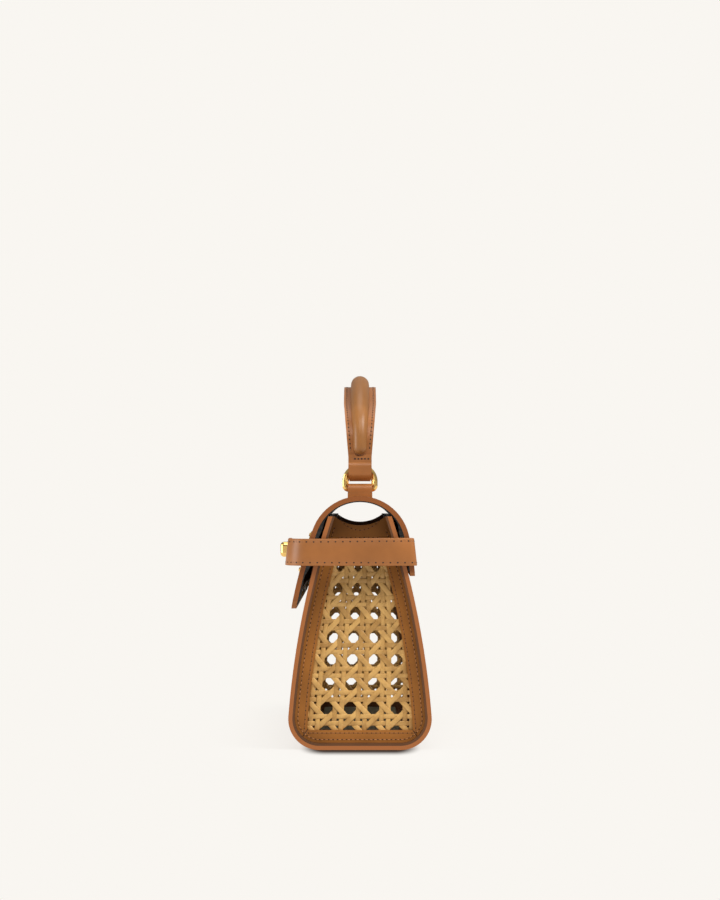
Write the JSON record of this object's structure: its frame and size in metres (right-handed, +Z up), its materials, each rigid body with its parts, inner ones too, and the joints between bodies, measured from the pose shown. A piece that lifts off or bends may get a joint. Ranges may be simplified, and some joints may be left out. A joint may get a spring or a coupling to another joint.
{
  "type": "basket box bag",
  "caption": "Structured mini handbag: cane webbing in leather frames, arched lid with flap, side straps, turn lock, and a top handle on rings.",
  "frame": {"origin": "middle of the flat underside, on the surface that the bag stands on", "axes": "+Z up, -Y towards the front with the turn lock, X along the bag"},
  "size_m": [0.194, 0.0844, 0.2049],
  "materials": {
    "tan_leather": "smooth, semi-gloss, painted edges",
    "dark_lining": "gloss",
    "cane": "satin woven cane",
    "gold_metal": "polished",
    "board_fabric": "matt"
  },
  "bodies": {
    "bag": {"back_cane": "cane", "base_board": "board_fabric", "flap_plate": "gold_metal", "flap_plate_screws": "gold_metal", "front_cane": "cane", "gusset_cane_left": "cane", "gusset_cane_right": "cane", "gusset_facing_left": "tan_leather", "gusset_facing_right": "tan_leather", "gusset_trim_left": "tan_leather", "gusset_trim_right": "tan_leather", "handle_tab_left": "tan_leather", "handle_tab_right": "tan_leather", "lid": "tan_leather", "lid_lining": "dark_lining", "lid_seam_strip": "tan_leather", "lock_base": "gold_metal", "lock_patch": "tan_leather", "outer_wrap": "tan_leather", "strap_left": "tan_leather", "strap_plate_left": "gold_metal", "strap_plate_right": "gold_metal", "strap_right": "tan_leather", "wrap_lining": "tan_leather"},
    "knob": {"lock_knob": "gold_metal"},
    "ring_right_body": {"ring_right": "gold_metal"},
    "ring_left_body": {"ring_left": "gold_metal"},
    "handle": {"handle_strip": "tan_leather", "handle_roll": "tan_leather", "handle_loop_right": "tan_leather", "handle_loop_left": "tan_leather"}
  },
  "joints": [
    {"name": "knob_turn", "type": "hinge", "parent": "bag", "child": "knob", "pos_m": [0, -0.0412, 0.1046], "axis": [0, 1, 0], "range_deg": [0, 90]},
    {"name": "ring_right_tilt", "type": "hinge", "parent": "bag", "child": "ring_right_body", "pos_m": [0.061, 0, 0.1392], "axis": [0, 1, 0], "range_deg": [-12, 12]},
    {"name": "ring_left_tilt", "type": "hinge", "parent": "bag", "child": "ring_left_body", "pos_m": [-0.061, 0, 0.1392], "axis": [0, 1, 0], "range_deg": [-12, 12]},
    {"name": "handle_pivot", "type": "hinge", "parent": "ring_right_body", "child": "handle", "pos_m": [0.061, 0, 0.14964], "axis": [0, 1, 0], "range_deg": [-12, 12]}
  ],
  "couplings": [
    {"joint": "ring_left_tilt", "follows": "ring_right_tilt", "ratio": 1},
    {"joint": "handle_pivot", "follows": "ring_right_tilt", "ratio": -1}
  ]
}
